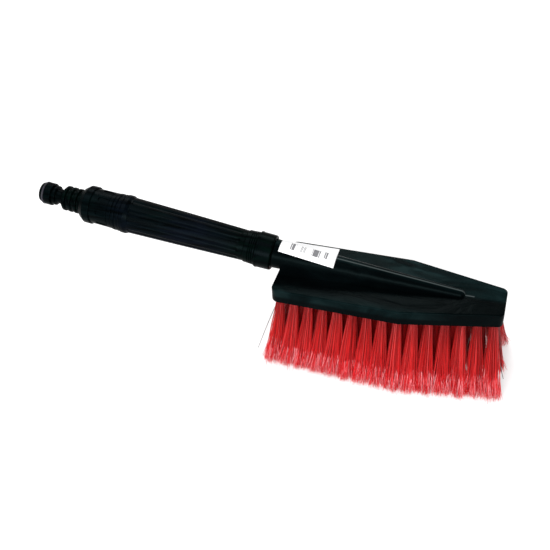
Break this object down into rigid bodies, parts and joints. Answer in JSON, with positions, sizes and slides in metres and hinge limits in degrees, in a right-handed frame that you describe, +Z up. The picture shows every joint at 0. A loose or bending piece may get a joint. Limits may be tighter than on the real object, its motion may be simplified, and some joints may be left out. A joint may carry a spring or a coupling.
{
  "type": "wheel brush",
  "caption": "Water-fed wheel cleaning brush with a flared bristle head, a hollow fluted handle on a union nut, and a twist valve ending in a hose plug.",
  "frame": {"origin": "on the floor under the middle of the brush's bounding box, with the brush standing on its bristle tips", "axes": "+X from the hose end to the tip of the head, +Z up, +Y to the left when looking towards the tip"},
  "size_m": [0.3534, 0.0852, 0.1096],
  "materials": {
    "head_black": "gloss moulded",
    "plate_black": "matte",
    "handle_black": "satin moulded",
    "valve_disc": "smooth acetal",
    "seal_rubber": "matte",
    "stainless_steel": "satin",
    "bristle_red": "soft translucent filament",
    "label_paper": "coated paper"
  },
  "bodies": {
    "head": {"head_shell": "head_black", "tuft_plate": "plate_black", "plate_gasket": "seal_rubber", "plate_screws": "stainless_steel", "tuft_anchors": "stainless_steel", "boss_label": "label_paper", "tufts_near_outer": "bristle_red", "tufts_near_inner": "bristle_red", "tufts_middle": "bristle_red", "tufts_far_inner": "bristle_red", "tufts_far_outer": "bristle_red"},
    "handle": {"handle_grip": "handle_black", "handle_ferrule": "handle_black", "coupling_washer": "seal_rubber", "nut_clip": "stainless_steel", "spigot_orings": "seal_rubber", "valve_seat": "valve_disc", "seat_gasket": "seal_rubber", "lock_ring": "handle_black"},
    "nut": {"union_nut": "handle_black"},
    "valve": {"valve_rotor": "valve_disc", "valve_spindle": "handle_black", "spindle_orings": "seal_rubber", "valve_knob": "handle_black", "knob_cap": "handle_black", "hose_plug": "handle_black", "plug_oring": "seal_rubber", "tail_oring": "seal_rubber"}
  },
  "joints": [
    {"name": "handle_pull", "type": "slide", "parent": "head", "child": "handle", "axis": [-0.9919, 0, 0.1271], "range_m": [0, 0.00451]},
    {"name": "nut_turn", "type": "hinge", "parent": "handle", "child": "nut", "pos_m": [0.00156, 0, 0.0778], "axis": [-0.9919, 0, 0.1271], "range_deg": [0, 540]},
    {"name": "valve_twist", "type": "hinge", "parent": "handle", "child": "valve", "pos_m": [-0.12401, 0, 0.09389], "axis": [-0.9919, 0, 0.1271], "range_deg": [0, 90]}
  ],
  "couplings": [
    {"joint": "handle_pull", "follows": "nut_turn", "m_per_rad": 0.00047746}
  ]
}
